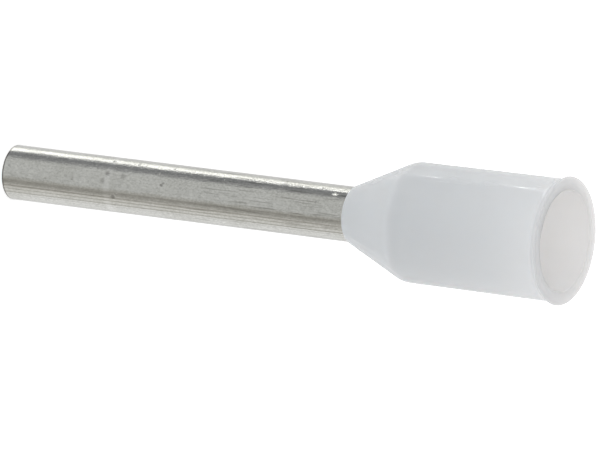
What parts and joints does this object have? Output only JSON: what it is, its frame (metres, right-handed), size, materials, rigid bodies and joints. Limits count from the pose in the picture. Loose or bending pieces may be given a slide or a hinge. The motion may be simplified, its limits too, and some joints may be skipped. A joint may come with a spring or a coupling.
{
  "type": "wire ferrule",
  "caption": "Insulated wire ferrule: a thin tin-plated copper sleeve, pressed into a translucent white plastic collar with a cone, a round barrel and a flared open mouth.",
  "frame": {"origin": "centre of the sleeve's bare cut end, on which the ferrule stands", "axes": "+Z along the ferrule's axis, from the cut end up to the collar's mouth; the ferrule is round about it"},
  "size_m": [0.0032, 0.0032, 0.016],
  "materials": {
    "tinned_copper": "drawn tube, dull bright tin plating",
    "natural_polypropylene": "satin moulded, translucent bluish white"
  },
  "bodies": {
    "root": {"contact_sleeve": "tinned_copper", "insulating_collar": "natural_polypropylene"}
  },
  "joints": []
}
